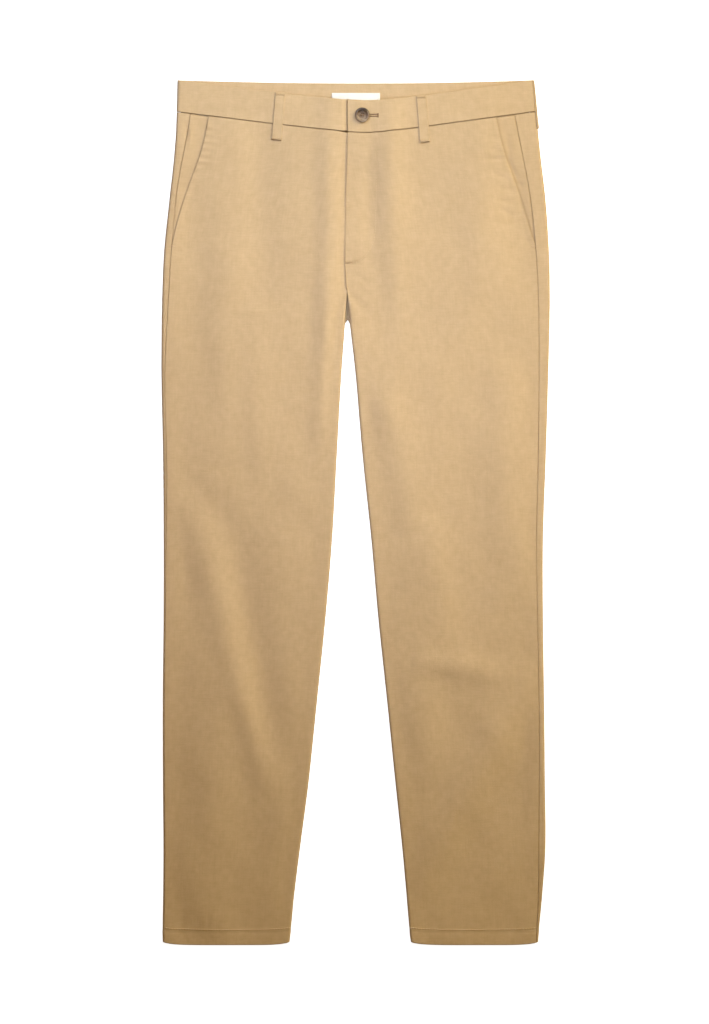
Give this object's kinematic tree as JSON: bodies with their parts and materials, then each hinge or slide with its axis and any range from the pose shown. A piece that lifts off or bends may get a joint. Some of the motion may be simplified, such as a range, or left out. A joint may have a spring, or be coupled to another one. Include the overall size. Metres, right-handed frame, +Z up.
{
  "type": "chino trousers laid flat",
  "caption": "Straight slim chino trousers laid flat, front up: slanted pockets, buttoned waistband, fly and belt loops; rests flat on a surface.",
  "frame": {"origin": "middle of the trousers' bounding box, on the surface they lie on", "axes": "+X towards the wearer's left side, +Y along the legs towards the waist, +Z up from the surface, out of the garment's front"},
  "size_m": [0.4772, 1.0627, 0.0133],
  "materials": {
    "chino_cloth": "matt sand-coloured cotton twill with a fine slub",
    "label_cloth": "plain white woven tape",
    "button_resin": "mottled brown resin, soft gloss"
  },
  "bodies": {
    "root": {"back_left": "chino_cloth", "back_right": "chino_cloth", "front_left": "chino_cloth", "front_right": "chino_cloth", "pocket_facing_left": "chino_cloth", "pocket_facing_right": "chino_cloth", "waistband_left": "chino_cloth", "waistband_right": "chino_cloth", "belt_loop_front_left": "chino_cloth", "belt_loop_front_right": "chino_cloth", "belt_loop_side_left": "chino_cloth", "belt_loop_side_right": "chino_cloth", "belt_loop_centre_back": "chino_cloth", "label": "label_cloth", "button": "button_resin"}
  },
  "joints": []
}
